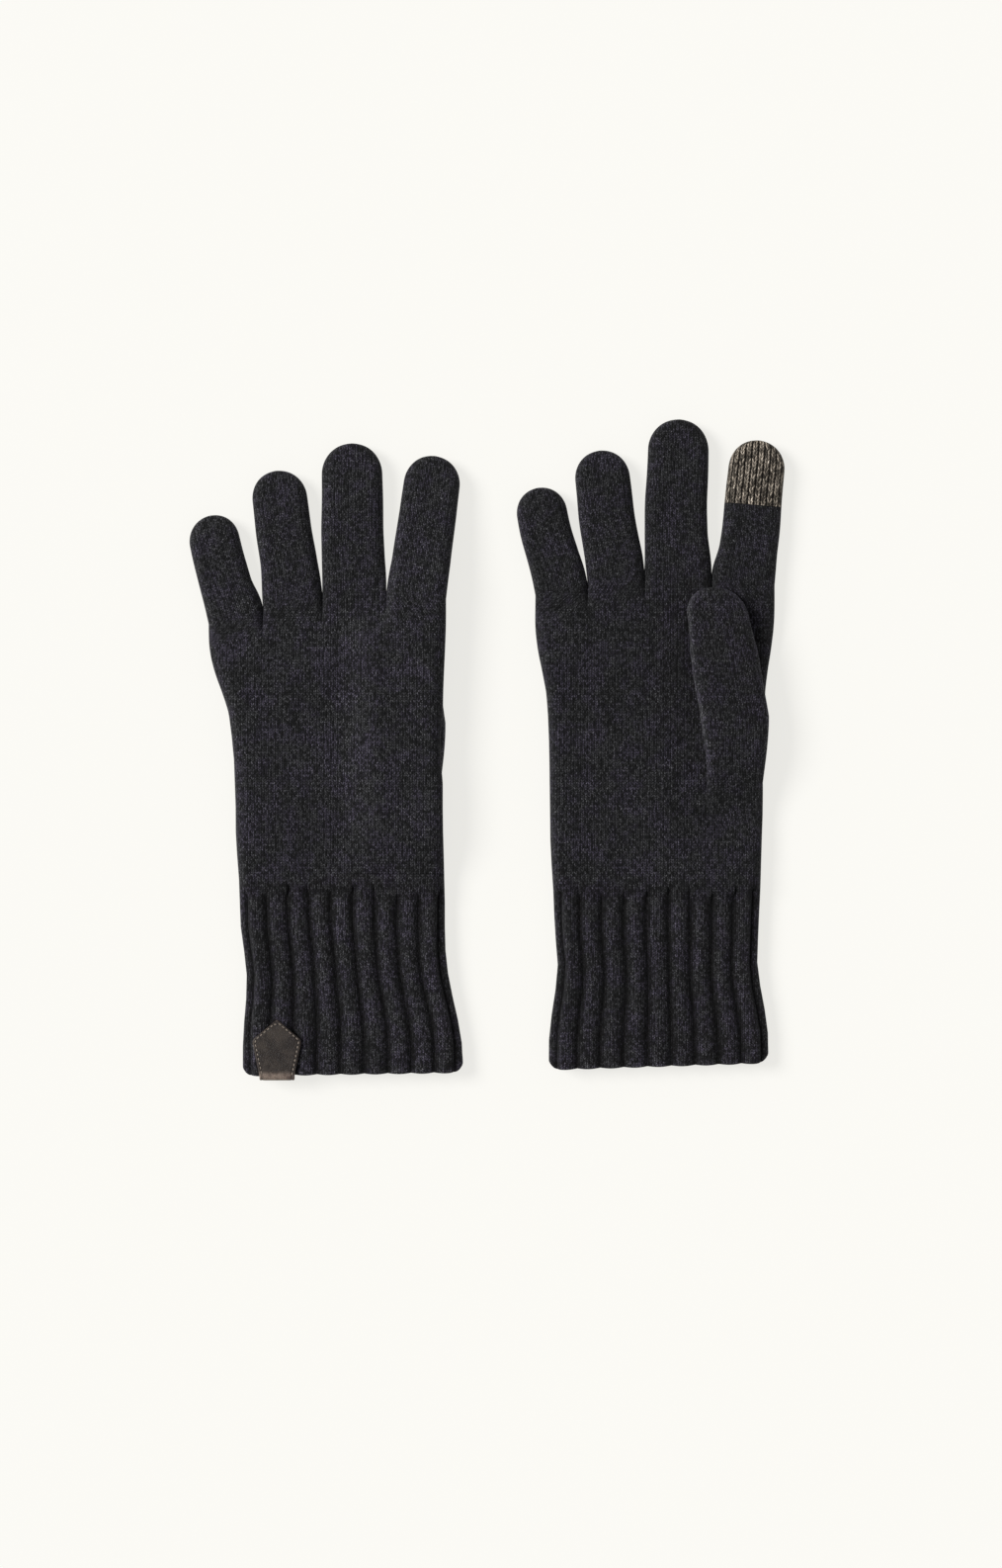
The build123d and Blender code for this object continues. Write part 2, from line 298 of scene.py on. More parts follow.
def knit_material(name, base, tint, fleck, gap_shade, wale, course, rise, gather, grain, sheen):
    """Jersey face: V stitches in columns with painted shade in the gaps between them, marled yarn, loose
    fibres and a soft sheen.
    """
    g = Graph(name)
    u, v = g.knit_uv()
    point = g.object_point()
    sway = g.math("MULTIPLY_ADD", g.noise(point, 420.0), 0.30, -0.15)
    u = g.math("ADD", g.math("DIVIDE", u, wale), sway)
    drift = g.math("MULTIPLY_ADD", g.noise(point, 260.0), 0.36, -0.18)
    v = g.math("ADD", g.math("DIVIDE", v, course), drift)
    height, leg_random = stitch_height(g, u, v, rise, gather)

    fibre = g.noise(point, 2300.0, 3.0, 0.75)
    cloud = g.noise(point, 38.0, 3.0, 0.55)
    patch = g.remap(g.noise(point, 110.0, 4.0, 0.65), 0.42, 0.62)
    marl = g.noise(point, 1150.0, 2.0, 0.6)
    yarn = g.mix(patch, base, tint)
    yarn = g.mix(g.remap(fibre, 0.52, 0.70, 0.0, 0.55), yarn, fleck)
    light = g.remap(leg_random, 0.0, 1.0, 1.0 - 1.1 * grain, 1.0 + 1.9 * grain)
    light = g.math("MULTIPLY", light, g.remap(marl, 0.34, 0.66, 1.0 - 0.5 * grain, 1.0 + 0.8 * grain))
    light = g.math("MULTIPLY", light, g.remap(cloud, 0.3, 0.7, 0.90, 1.12))
    yarn = g.dim(yarn, light)
    # The gaps between the stitches are filled with a dark colour as painted shade.
    colour = g.mix(g.remap(height, 0.22, 0.80), gap_shade, yarn)
    g.paint_light_and_shade(colour)
    g.links.new(g.remap(fibre, 0.3, 0.7, 0.82, 0.98), g.shader.inputs["Roughness"])
    g.shader.inputs["Sheen Weight"].default_value = sheen
    g.shader.inputs["Sheen Roughness"].default_value = 0.32
    g.shader.inputs["Sheen Tint"].default_value = (0.62, 0.62, 0.70, 1.0)
    g.shader.inputs["Specular IOR Level"].default_value = 0.18
    relief = g.math("ADD", height, g.math("MULTIPLY", fibre, 0.45))
    g.bump(relief, 0.18 * wale, 0.9)
    return g.material


def leather_material():
    """Dark brown leather with a pebbled grain; the mesh's tone adds a painted highlight on the fold, painted
    shade in the thread groove and lighter edges.
    """
    g = Graph("leather")
    point = g.object_point()
    cells = g.nodes.new("ShaderNodeTexVoronoi")
    cells.feature = "DISTANCE_TO_EDGE"
    cells.inputs["Scale"].default_value = 1500.0
    g.links.new(point, cells.inputs["Vector"])
    grain = g.remap(cells.outputs["Distance"], 0.0, 0.22)
    cloud = g.noise(point, 210.0, 4.0, 0.65)
    hide = g.mix(g.remap(cloud, 0.38, 0.64), (0.015, 0.0098, 0.0080, 1.0), (0.047, 0.036, 0.0290, 1.0))
    g.paint_light_and_shade(g.mix(g.remap(grain, 0.0, 1.0, 0.55, 0.0), hide, (0.012, 0.009, 0.008, 1.0)))
    g.links.new(g.remap(cloud, 0.3, 0.7, 0.42, 0.56), g.shader.inputs["Roughness"])
    g.shader.inputs["Specular IOR Level"].default_value = 0.35
    g.bump(g.math("ADD", grain, g.math("MULTIPLY", cloud, 0.8)), 0.08 * MM)
    return g.material


def thread_material():
    """Waxed brown thread, twisted."""
    g = Graph("thread")
    u, v = g.knit_uv()
    twist = g.math("SINE", g.math("MULTIPLY", g.math("ADD", u, v), 9000.0))
    colour = g.mix(g.remap(twist, -1.0, 1.0), (0.10, 0.078, 0.064, 1.0), (0.32, 0.265, 0.22, 1.0))
    g.links.new(colour, g.shader.inputs["Base Color"])
    g.shader.inputs["Roughness"].default_value = 0.55
    g.bump(twist, 0.05 * MM)
    return g.material


def paper_material():
    """Plain warm white studio sweep."""
    g = Graph("paper")
    cloud = g.noise(g.object_point(), 3.0)
    tone = g.mix(cloud, (0.198, 0.196, 0.189, 1.0), (0.202, 0.200, 0.193, 1.0))
    g.links.new(tone, g.shader.inputs["Base Color"])
    g.shader.inputs["Emission Color"].default_value = (0.760, 0.752, 0.720, 1.0)
    g.shader.inputs["Emission Strength"].default_value = 1.0
    g.shader.inputs["Roughness"].default_value = 0.95
    g.shader.inputs["Specular IOR Level"].default_value = 0.0
    return g.material


# ------------------------------------------------------------------ the layout of one glove
class Finger(NamedTuple):
    """Where one finger folds and how it lies."""

    origin: np.ndarray          # middle of the fold line
    along: np.ndarray           # unit direction toward the tip, in plan
    across: np.ndarray          # unit direction toward the index side, in plan
    half: float                 # half width
    length: float               # from the fold line to the tip


class Root(NamedTuple):
    """One finger's share of the row where the hand meets its fingers."""

    base: np.ndarray            # points along the row
    lobe: np.ndarray            # height of the outline at each point, 0..1
    arc: np.ndarray             # length along the outline, for the knit map
    count: int                  # mesh spans across the finger


class Glove:
    """Everything about one glove that its pieces share, read from the CAD frame."""

    def __init__(self, side):
        self.side = side
        self.palm_up = side == "right"
        self.hem = node_points(f"{side}_cuff_hem")
        self.cuff = node_points(f"{side}_cuff")
        self.palm = node_points(f"{side}_hand")
        self.thumb = node_points(f"{side}_thumb")
        self.wrist = np.array(joints[f"{side}_wrist"]["pos_m"])
        self.edge_x = joints[f"{side}_thumb_fold"]["pos_m"][0]
        self.floor = self.hem[:, 2].min()
        self.half_thick = (self.hem[:, 2].max() - self.floor) / 2
        self.hem_y = self.hem[:, 1].min()
        self.thumb_root = self.thumb[:, 1].min() - 4 * MM      # just below the thumb's plain solid
        self.thumb_tip = self.thumb[:, 1].max()
        self.seed = 3 if self.palm_up else 8

    def edges(self, y):
        """Little-finger edge and index edge of the cuff and hand at y."""
        points = np.concatenate([self.hem, self.cuff, self.palm])
        reach = 7 * MM
        near = points[abs(points[:, 1] - y) < reach]
        return near[:, 0].min(), near[:, 0].max()

    def smooth_edges(self, ys):
        """Edges at each of ys, interpolated between places along the glove."""
        knots = np.linspace(self.hem_y + 2 * MM, self.palm[:, 1].max() - 12 * MM, 20)
        pairs = np.array([self.edges(y) for y in knots])
        return np.interp(ys, knots, pairs[:, 0]), np.interp(ys, knots, pairs[:, 1])

    def finger(self, name):
        """How one finger lies, from its joint and its solids."""
        joint = joints[f"{self.side}_{name}_fold"]
        origin = np.array(joint["pos_m"])
        across = np.array(joint["axis"], dtype=float)
        across *= np.sign(across[0])
        along = np.array([-across[1], across[0], 0.0])
        points = node_points(f"{self.side}_{name}_finger")
        if name == "index":
            points = np.concatenate([points, node_points(f"{self.side}_index_touch_tip")])
        local = points - origin
        half = abs(local @ across).max() + FULLER
        length = (local @ along).max()
        return Finger(origin, along, across, half, length)

    def heights(self, x, y):
        """Middle and half thickness of the hand at x, y, shaped round the folded thumb."""
        thumb_low, thumb_high = self.thumb[:, 2].min(), self.thumb[:, 2].max()
        thumb_left = self.thumb[:, 0].min()
        base, tip = self.thumb[:, 1].min(), self.thumb_tip
        full = self.half_thick + 0.35 * MM * ease(y, self.wrist[1], self.wrist[1] + 30 * MM)
        full = full - 0.85 * MM * ease(y, tip - 30 * MM, tip)
        across = ease(x, thumb_left - 12 * MM, thumb_left + 6 * MM)
        along = ease(y, base - 28 * MM, base - 2 * MM)
        if self.palm_up:
            pressed = (thumb_low - LAYER_GAP - self.floor) / 2
            share = across * along * (1 - ease(y, tip - 6 * MM, tip + 10 * MM))
            thick = full + (pressed - full) * share
            return self.floor + thick, thick
        top = self.palm[:, 2].max()
        low = thumb_high + LAYER_GAP - self.floor
        share = across * along
        thick = full + ((top - self.floor - low) / 2 - full) * share
        return self.floor + low * share + thick, thick


# ------------------------------------------------------------------ cuff
def rib_ridge(glove, y, turn):
    """Height of the ribs at y, 0 in a valley and 1 on a crest, wandering a little up the cuff."""
    wander = 0.09 * np.array([wobble(t * 0.21, y / (26 * MM), 0, 1.0, glove.seed + 2) for t in turn])
    wave = 0.5 + 0.5 * np.cos(2 * math.pi * (turn + wander))
    return wave ** 0.48


def rib_fade(glove, y, turn):
    """1 on the cuff and 0 past its join to the hand, where some ribs run on longer than others."""
    start = glove.wrist[1]
    jitter = np.array([wobble(i * 0.7, 0, 0, 1.0, glove.seed) for i in range(RIBS + 1)])
    late = jitter[np.clip(np.round(turn + RIBS / 2), 0, RIBS).astype(int)] * 5 * MM
    return 1 - ease(y, start - 3.5 * MM + late, start + 0.5 * MM + late)


def hem_lift(glove, y, turn, ridge):
    """How far the cloth at y is drawn up by the hem's slant, its rounded corners and its scallops."""
    hem = glove.hem_y
    slant = HEM_SLANT[glove.side] * (turn / RIBS + 0.5) * (1 - ease(y, hem, glove.wrist[1]))
    corner = 3.2 * MM * ease(abs(turn / RIBS), 0.435, 0.5) ** 2 * (1 - ease(y, hem, hem + 9 * MM))
    scallop = (0.9 - 0.45 * ridge) * MM * (1 - ease(y, hem, hem + 3 * MM))
    return slant + corner + scallop


def cuff_painted_shading(glove, y, ridge, fade):
    """Painted shade and highlight on the cuff at y: painted shade in the rib valleys and at the join to the
    hand, a painted highlight along the hem.
    """
    # Painted shade in the valleys between the ribs.
    valley = 1 - (1 - ridge) * fade
    # Painted highlight along the hem, where its roll would catch the light.
    edge = 1 + 0.35 * (1 - ease(y, glove.hem_y, glove.hem_y + 2.2 * MM))
    # Painted shade in a band at the join to the hand.
    join = 1 - 0.24 * math.exp(-((y - glove.wrist[1]) / (3.6 * MM)) ** 2)
    return (0.24 + 0.84 * ease(valley, 0.12, 0.86)) * edge * join


def cuff_rows(glove, ys, inset):
    """Ribbed sheet rows of the cuff at ys: upper and lower positions, knit map and painted shade and
    highlight.
    """
    left, right = glove.smooth_edges(ys)
    tops, lows, maps, painted_light_rows = [], [], [], []
    turn = np.linspace(-0.5, 0.5, CUFF_COLUMNS + 1) * RIBS
    for y, x0, x1 in zip(ys, left, right):
        half = (x1 - x0) / 2
        across, height, arc = half_ring(half, glove.half_thick, CUFF_COLUMNS)
        ridge, fade = rib_ridge(glove, y, turn), rib_fade(glove, y, turn)
        drop = RIB_DEPTH * (1 - ridge) * fade
        shrink = inset + drop * (1 if inset == 0 else 0.25)
        spread = across * (1 - shrink / half * np.abs(across / half) ** 6)
        x, row_y = (x0 + x1) / 2 + spread, np.full_like(arc, y)
        lifted = row_y + hem_lift(glove, y, turn, ridge)
        for sign, sheet in ((1, tops), (-1, lows)):
            z = glove.floor + glove.half_thick + sign * height * (glove.half_thick - shrink)
            sheet.append(np.stack([x, lifted, z], axis=-1))
        maps.append(np.stack([arc, row_y], axis=-1))
        painted_light_rows.append(cuff_painted_shading(glove, y, ridge, fade))
    return np.array(tops), np.array(lows), np.array(maps), np.array(painted_light_rows)


def turned_edge(outer, inner):
    """Rows that roll round the hem from the outer wall to the inner wall."""
    middle, offset = (outer + inner) / 2, (outer - inner) / 2
    rows = []
    for angle in np.linspace(0, math.pi, 9)[1:-1]:
        row = middle + offset * math.cos(angle)
        row[:, 1] -= 0.8 * MM * math.sin(angle)
        rows.append(row)
    return np.array(rows)


def cuff_piece(glove, name, low, high, inner_high, material):
    """A stretch of cuff with its outer wall, and its inner wall as far as inner_high."""
    ys = np.linspace(high, low, max(int((high - low) / CUFF_STEP), 6))
    outer_top, outer_low, maps, tone = cuff_rows(glove, ys, 0.0)
    inner_ys = np.linspace(low, inner_high, max(int((inner_high - low) / LINING_STEP), 3))
    inner_top, inner_low, inner_maps, inner_painted_shade = cuff_rows(glove, inner_ys, LINING_DEPTH)
    tops, lows = [outer_top], [outer_low]
    all_maps, painted_light_rows = [maps], [tone]
    if low <= glove.hem_y + 0.1 * MM:
        tops.append(turned_edge(outer_top[-1], inner_top[0]))
        lows.append(turned_edge(outer_low[-1], inner_low[0]))
        steps = len(tops[-1])
        rolled = np.repeat(maps[-1:], steps, axis=0)
        rolled[..., 1] -= np.arange(1, steps + 1)[:, None] * 0.3 * MM
        all_maps.append(rolled)
        # The rolled hem keeps the hem row's painted shade and highlight.
        painted_light_rows.append(np.repeat(tone[-1:], steps, axis=0))
    tops.append(inner_top)
    lows.append(inner_low)
    inner_maps[..., 1] = 2 * low - inner_maps[..., 1]
    all_maps.append(inner_maps)
    # The inner wall is darkened as painted shade inside the cuff.
    painted_light_rows.append(inner_painted_shade * 0.7)
    top, bottom = np.concatenate(tops), np.concatenate(lows)
    uv = np.concatenate(all_maps)
    bottom[:, 0], bottom[:, -1] = top[:, 0], top[:, -1]
    return tube(name, top, bottom, uv, material, np.concatenate(painted_light_rows), flip=True)


# ------------------------------------------------------------------ hand and fingers
def root_rows(fingers):
    """The shared row where the hand meets its fingers: one lobe per finger."""
    corners = []
    for finger in fingers.values():
        start = finger.origin - finger.along * ROOT_SETBACK
        left, right = start - finger.across * finger.half, start + finger.across * finger.half
        if corners:
            corners[-1] = (corners[-1] + left) / 2
        else:
            corners.append(left)
        corners.append(right)
    roots = {}
    for (name, finger), left, right in zip(fingers.items(), corners, corners[1:]):
        count = int(round(2 * (finger.half + 2 * MM) / STEP))
        x, lobe, arc = half_ring(finger.half, FINGER_HALF, count)
        share = ((x + finger.half) / (2 * finger.half))[:, None]
        roots[name] = Root(left + (right - left) * share, lobe, arc, count)
    return roots


def joined(parts):
    """One row from the fingers' parts of it, whose end points are shared."""
    return np.concatenate([part[1 if i else 0:] for i, part in enumerate(parts)])


def root_heights(fingers, roots):
    """Middle height along the shared root row, smoothed from finger to finger."""
    middle = joined([np.full(roots[name].count + 1, finger.origin[2]) for name, finger in fingers.items()])
    width = 9
    kernel = np.ones(2 * width + 1) / (2 * width + 1)
    return np.convolve(np.pad(middle, width, mode="edge"), kernel, mode="valid")


def hand_piece(glove, material, fingers, roots):
    """Hand from just above the wrist's fold to the finger roots, pinched between the fingers."""
    base = joined([root.base for root in roots.values()])
    lobes = joined([root.lobe for root in roots.values()])
    end_middle = root_heights(fingers, roots)
    start = glove.wrist[1] + WRIST_REACH
    length = base[:, 1].mean() - start
    tops, lows, maps = [], [], []
    for share in np.linspace(0, 1, int(length / STEP) + 1):
        y = start + (base[:, 1] - start) * share
        left, right = glove.smooth_edges(y)
        half = (right - left) / 2
        across, height, _ = half_ring(half.mean(), glove.half_thick, len(base) - 1)
        single = (left + right) / 2 + across / half.mean() * half
        gather = ease(share, 0.62, 1.0)
        x = single + (base[:, 0] - single) * gather
        pinch = ease(share, 1 - 15 * MM / length, 1.0)
        lift = height + (lobes - height) * pinch
        middle, thick = glove.heights(x, y)
        join = ease(share, 1 - 22 * MM / length, 1.0)
        middle = middle + (end_middle - middle) * join
        thick = thick + (FINGER_HALF - thick) * join
        tops.append(np.stack([x, y, middle + lift * thick], axis=-1))
        lows.append(np.stack([x, y, middle - lift * thick], axis=-1))
        spread = np.concatenate([[0], np.cumsum(np.hypot(np.diff(x), np.diff(lift * thick)))])
        spread -= np.interp(glove.wrist[0], x, spread)
        maps.append(np.stack([spread, y], axis=-1))
    top, bottom, uv = np.array(tops), np.array(lows), np.array(maps)
    ripple(top, glove.seed, start, start + length, 1)
    if glove.palm_up:
        ripple(bottom, glove.seed + 1, start, start + length, -1)
    bottom[:, 0], bottom[:, -1] = top[:, 0], top[:, -1]
    return tube(f"{glove.side}_hand_knit", top, bottom, uv, material)


def ripple(points, seed, start, end, sign):
    """Broad soft hollows and swells, dying out at both ends of the sheet."""
    for row in points:
        for p in row[1:-1]:
            calm = float(ease(p[1], start, start + 9 * MM) * (1 - ease(p[1], end - 9 * MM, end)))
            p[2] += sign * 0.55 * MM * calm * wobble(p[0], p[1] * 0.55, 0, 15 * MM, seed)


def finger_rows(glove, name, fingers, roots):
    """Rows of one finger from the shared root row to its rounded tip."""
    finger, root = fingers[name], roots[name]
    number = FINGERS.index(name)
    index = sum(roots[f].count for f in FINGERS[:number])
    middle_row = root_heights(fingers, roots)[index:index + root.count + 1]
    droop = finger.origin[2] - FINGER_HALF - glove.floor
    total = finger.length + ROOT_SETBACK
    bend = glove.seed + number
    tops, lows, maps = [], [], []
    for share in np.linspace(0, 1, int(total / STEP) + 1):
        run, shrink = round_tip(share * total, total, finger.half * CROWN)
        taper = 1 - 0.07 * run / total
        x, height, spread = half_ring(finger.half * taper * shrink ** 0.92, FINGER_HALF, root.count)
        sway = 0.5 * MM * wobble(run, 0, 0, 22 * MM, bend) * ease(run, 6 * MM, 20 * MM)
        splay = SPLAY[glove.side][name] * ease(run, 0.0, 30 * MM)
        centre = finger.origin + finger.along * (run - ROOT_SETBACK) + finger.across * (sway + splay)
        regular = centre + finger.across * x[:, None]
        settle = ease(run, 0.0, 16 * MM)
        plan = (root.base + finger.along * run) * (1 - settle) + regular * settle
        lift = root.lobe + (height - root.lobe) * settle
        fall = droop * np.clip((run - ROOT_SETBACK) / (finger.length - FINGER_HALF), 0, 1)
        middle = middle_row + (finger.origin[2] - middle_row) * settle - fall
        thick = FINGER_HALF * (1 - 0.75 * (1 - shrink ** 0.5) * settle)
        thick = thick * (1 + 0.05 * wobble(run, 1, 0, 14 * MM, bend) * settle)
        tops.append(np.stack([plan[:, 0], plan[:, 1], middle + lift * thick], axis=-1))
        lows.append(np.stack([plan[:, 0], plan[:, 1], middle - lift * thick], axis=-1))
        arc = root.arc + (spread - root.arc) * settle
        maps.append(np.stack([arc, np.full_like(arc, run)], axis=-1))
    return np.array(tops), np.array(lows), np.array(maps)


def touch_zone(glove, fingers):
    """How far up the index finger, from the root row, its conductive knit starts."""
    patch = node_points(f"{glove.side}_index_touch_tip")
    return ((patch - fingers["index"].origin) @ fingers["index"].along).min() + ROOT_SETBACK


def finger_piece(glove, name, fingers, roots, material):
    """One finger of fine jersey. Under the touch tip the index finger is set in a little."""
    top, bottom, uv = finger_rows(glove, name, fingers, roots)
    if name == "index":
        sheet = top if glove.palm_up else bottom
        middle = (top + bottom) / 2
        start = touch_zone(glove, fingers)
        under = ease(uv[..., 1], start, start + 1.2 * MM)[..., None]
        sheet[:, 1:-1] += ((middle - sheet) * 0.16 * under)[:, 1:-1]
    return tube(f"{glove.side}_{name}_finger_knit", top, bottom, uv, material)


def resample(sheet, rows, columns):
    """Refine a sheet of rows by linear interpolation along both directions."""
    old_r, old_c = sheet.shape[:2]
    r = np.linspace(0, old_r - 1, rows)
    c = np.linspace(0, old_c - 1, columns)
    r0, c0 = np.minimum(r.astype(int), old_r - 2), np.minimum(c.astype(int), old_c - 2)
    fr, fc = (r - r0)[:, None, None], (c - c0)[None, :, None]
    upper = sheet[r0][:, c0] * (1 - fc) + sheet[r0][:, c0 + 1] * fc
    lower = sheet[r0 + 1][:, c0] * (1 - fc) + sheet[r0 + 1][:, c0 + 1] * fc
    return upper * (1 - fr) + lower * fr


def touch_piece(glove, fingers, roots, material):
    """Coarse conductive knit on the palm side of the index tip, each V stitch in relief."""
    top, bottom, uv = finger_rows(glove, "index", fingers, roots)
    sheet = top if glove.palm_up else bottom
    keep = uv[:, 0, 1] > touch_zone(glove, fingers)
    sheet, uv = sheet[keep], uv[keep]
    rows = int((uv[-1, 0, 1] - uv[0, 0, 1]) / TOUCH_STEP)
    columns = int(TOUCH_SPAN / TOUCH_STEP)
    sheet, uv = resample(sheet, rows, columns), resample(uv, rows, columns)
    leg = abs(np.mod(uv[..., 0] / TOUCH_WALE, 1) - 0.5)
    climb = np.mod(uv[..., 1] / TOUCH_COURSE - TOUCH_RISE * leg, 1)
    place = np.minimum(TOUCH_GATHER * leg, 0.5)
    stitch = np.sqrt((1 - abs(2 * climb - 1) ** 2) * (1 - abs(4 * place - 1) ** 2))
    outward = 1 if glove.palm_up else -1
    rim = ease(uv[..., 1], uv[0, 0, 1], uv[0, 0, 1] + 0.8 * MM)
    side = np.sin(np.linspace(0, math.pi, columns))[None, :] ** 0.35
    face = sheet.copy()
    face[..., 2] += outward * (0.55 * MM * stitch * side - 0.15 * MM) * rim * side
    back = sheet.copy()
    back[..., 2] -= outward * 0.9 * MM * side
    back[:, 0], back[:, -1] = face[:, 0], face[:, -1]
    upper, lower = (face, back) if glove.palm_up else (back, face)
    return tube(f"{glove.side}_touch_knit", upper, lower, uv, material)


# ------------------------------------------------------------------ thumb
def thumb_axis(glove, lean):
    """Half width of the thumb and its axis's distance across the lean, both read from its tip."""
    points = glove.thumb
    crossing = points[:, 0] * math.cos(lean) + points[:, 1] * math.sin(lean)
    rising = points[:, 1] * math.cos(lean) - points[:, 0] * math.sin(lean)
    end = crossing[rising > rising.max() - 16 * MM]
    return (end.max() - end.min()) / 2 + FULLER, (end.max() + end.min()) / 2


def thumb_sides(glove, y, centre, wide):
    """Left and right edge of the thumb at y, down to the rounded lower corner of its gusset."""
    root = glove.thumb_root
    flare = 2.6 * MM * float(1 - ease(y, root + 4 * MM, root + 30 * MM))
    edge = glove.edge_x - 0.1 * MM - GUSSET_INSET * float(1 - ease(y, root, root + 42 * MM))
    right = min(centre + wide, edge)
    corner = 1 - min((y - root + GUSSET_RUN) / (GUSSET_RUN + 6 * MM), 1)
    return right - (right - centre + wide + flare) * math.sqrt(max(1 - corner ** 2, 0.01)), right


def thumb_piece(glove, material):
    """Thumb folded over or under the palm. Its gusset runs on down, thin, inside the palm's cloth."""
    low, high = glove.thumb[:, 2].min(), glove.thumb[:, 2].max()
    root, tip = glove.thumb_root, glove.thumb_tip
    base = root - GUSSET_RUN
    lean = math.radians(THUMB_LEAN)
    half, axis = thumb_axis(glove, lean)
    count = int(2 * (half + 3 * MM) / STEP)
    length = tip - base
    tops, lows, maps, painted_light_rows = [], [], [], []
    for share in np.linspace(0, 1, int(length / STEP) + 1):
        run, shrink = round_tip(share * length, length, half * CROWN)
        y = base + run
        centre = (axis - y * math.sin(lean)) / math.cos(lean)
        fuller = 1.5 * MM * float(1 - ease(y, tip - 32 * MM, tip - 12 * MM))
        x0, x1 = thumb_sides(glove, y, centre, (half + fuller) * shrink ** 0.92 / math.cos(lean))
        x, height, spread = half_ring((x1 - x0) / 2, (high - low) / 2, count)
        swell = float(ease(y, root, root + 34 * MM))
        thick = (high - low) / 2 * (0.10 + 0.90 * swell) * (0.25 + 0.75 * shrink ** 0.5)
        middle = low + thick - 0.9 * MM * (1 - swell) if glove.palm_up else high - thick
        tilt = 0.5 * MM * wobble(y, 2, 0, 18 * MM, glove.seed)
        xs = (x0 + x1) / 2 + x + tilt * float(ease(y, root + 30 * MM, root + 60 * MM))
        tops.append(np.stack([xs, np.full_like(xs, y), middle + height * thick], axis=-1))
        lows.append(np.stack([xs, np.full_like(xs, y), middle - height * thick], axis=-1))
        maps.append(np.stack([spread, np.full_like(xs, run)], axis=-1))
        # Painted highlight along the thumb's folded edges, where the fibres would catch the light.
        painted_light_rows.append(1 + 1.1 * swell * (1 - ease(height, 0.45, 0.98)))
    top, bottom, uv = np.array(tops), np.array(lows), np.array(maps)
    return tube(f"{glove.side}_thumb_knit", top, bottom, uv, material, np.array(painted_light_rows))


# ------------------------------------------------------------------ leather tab
class Tab:
    """Plan of the leather tab, read from the CAD: its leaf runs from the fold up to a point."""

    def __init__(self):
        points = node_points("left_leather_tab")
        self.low, self.high = points.min(axis=0), points.max(axis=0)
        self.centre = (self.low[0] + self.high[0]) / 2
        self.half = (self.high[0] - self.low[0]) / 2 + 0.4 * MM
        self.thick = 0.6 * MM
        self.fold_y = self.low[1] + 2.0 * MM
        self.length = self.high[1] - self.fold_y + 1.0 * MM

    def half_width(self, reach):
        """Half width at a distance from the fold: widening to two corners, then a point."""
        share = reach / self.length
        return float(np.interp(share, [0, 0.60, 0.66, 0.97, 1.0], [0.71, 0.99, 0.94, 0.10, 0.02])) * self.half

    def path(self):
        """Middle line of the folded leather as (y, z, distance from the fold), inner to outer point."""
        low, high = self.low[2] + self.thick, self.high[2] - self.thick
        mid_z = (self.low[2] + self.high[2]) / 2
        radius = (high - low) / 2
        leaf = np.linspace(0, 1, 60) * self.length
        inner = [(self.fold_y + reach, mid_z - radius, reach) for reach in leaf[::-1]]
        fold = [(self.fold_y - radius * math.sin(angle), mid_z - radius * math.cos(angle), 0.0)
                for angle in np.linspace(0, math.pi, 14)[1:-1]]
        outer = [(self.fold_y + reach, mid_z + radius, reach) for reach in leaf]
        return inner + fold + outer


def tab_piece(tab, material):
    """Dark leather tab, folded over the hem, with lighter edges, a painted highlight on its fold and a groove
    for the thread darkened as painted shade.
    """
    tops, lows, maps, painted_light_rows = [], [], [], []
    path = tab.path()
    run = 0.0
    for i, (y, z, reach) in enumerate(path):
        before, after = path[max(i - 1, 0)], path[min(i + 1, len(path) - 1)]
        run += math.hypot(y - before[0], z - before[1])
        heading = np.array([0, after[0] - before[0], after[1] - before[1]])
        heading /= np.linalg.norm(heading)
        outward = np.array([0, heading[2], -heading[1]])
        wide = tab.half_width(reach)
        x, height, spread = half_ring(wide, tab.thick, 60)
        place = np.stack([tab.centre + x, np.full_like(x, y), np.full_like(x, z)], axis=-1)
        to_edge = np.minimum(wide - np.abs(x), (tab.length - reach) * POINT_SLOPE)
        groove = np.exp(-((to_edge - STITCH_INSET) / (0.42 * MM)) ** 2)
        puff = height * (tab.thick - 0.14 * MM * groove)
        tops.append(place - outward * puff[:, None])
        lows.append(place + outward * puff[:, None])
        maps.append(np.stack([spread, np.full_like(x, run)], axis=-1))
        # Painted highlight on the fold, where the leather would catch the light.
        fold_highlight = 4.5 * float(1 - ease(reach, 0.0, 2.4 * MM))
        # Lighter along the very edge of the leather.
        lighter_edge = 0.9 * (1 - ease(to_edge, 0.15 * MM, 0.7 * MM))
        # The thread's groove is darkened as painted shade.
        painted_light_rows.append((1 + fold_highlight + lighter_edge) * (1 - 0.5 * groove))
    top, bottom, uv = np.array(tops), np.array(lows), np.array(maps)
    return tube("left_tab_leather", top, bottom, uv, material, np.array(painted_light_rows))


def stitch_path(tab):
    """The thread's line in plan: up one edge of the leaf, over its point and down the other."""
    reach = np.linspace(0.6 * MM, tab.length - STITCH_INSET / POINT_SLOPE, 90)
    wide = np.array([max(tab.half_width(r) - STITCH_INSET, 0.0) for r in reach])
    across = np.concatenate([-wide, wide[::-1]])
    up = np.concatenate([reach, reach[::-1]])
    return np.stack([tab.centre + across, tab.fold_y + up], axis=-1)


